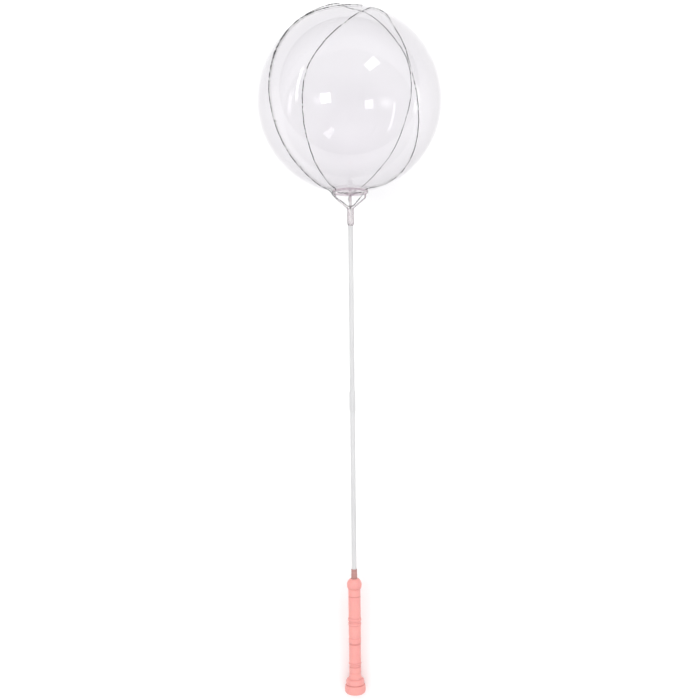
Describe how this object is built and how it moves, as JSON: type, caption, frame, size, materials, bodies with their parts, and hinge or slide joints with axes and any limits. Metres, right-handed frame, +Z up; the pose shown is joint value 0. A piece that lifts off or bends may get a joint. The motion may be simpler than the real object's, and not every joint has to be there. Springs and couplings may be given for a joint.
{
  "type": "clear bubble balloon on a pole",
  "caption": "Clear film bubble balloon in a ring cup on a jointed hollow pole, with a ringed coral grip, a bell end cap and a light string wound over the bubble.",
  "frame": {"origin": "centre of the length and width of the balloon as it lies, on the floor", "axes": "+Y from the grip's end cap towards the bubble, +Z up from the floor, +X to the right when seen from above with the bubble at the top; the pole rises by about 8 degrees towards the bubble"},
  "size_m": [0.368, 1.3588, 0.3654],
  "materials": {
    "clear_film": "thin clear stretched film, glossy, faintly lavender",
    "clear_plastic": "clear moulded plastic, glossy, faintly pinkish grey",
    "milky_plastic": "milky translucent plastic tube, satin",
    "dusty_pink_plastic": "dusty brown-pink plastic, satin",
    "coral_plastic": "coral pink moulded plastic, soft gloss",
    "dark_wire": "dark grey thin wire with small drops"
  },
  "bodies": {
    "root": {"bubble": "clear_film", "balloon_cup": "clear_plastic", "upper_tube": "milky_plastic", "tube_coupler": "milky_plastic", "lower_tube": "milky_plastic", "tube_ferrule": "dusty_pink_plastic", "grip_collar": "coral_plastic", "grip": "coral_plastic", "grip_end_cap": "coral_plastic", "light_string": "dark_wire"}
  },
  "joints": []
}
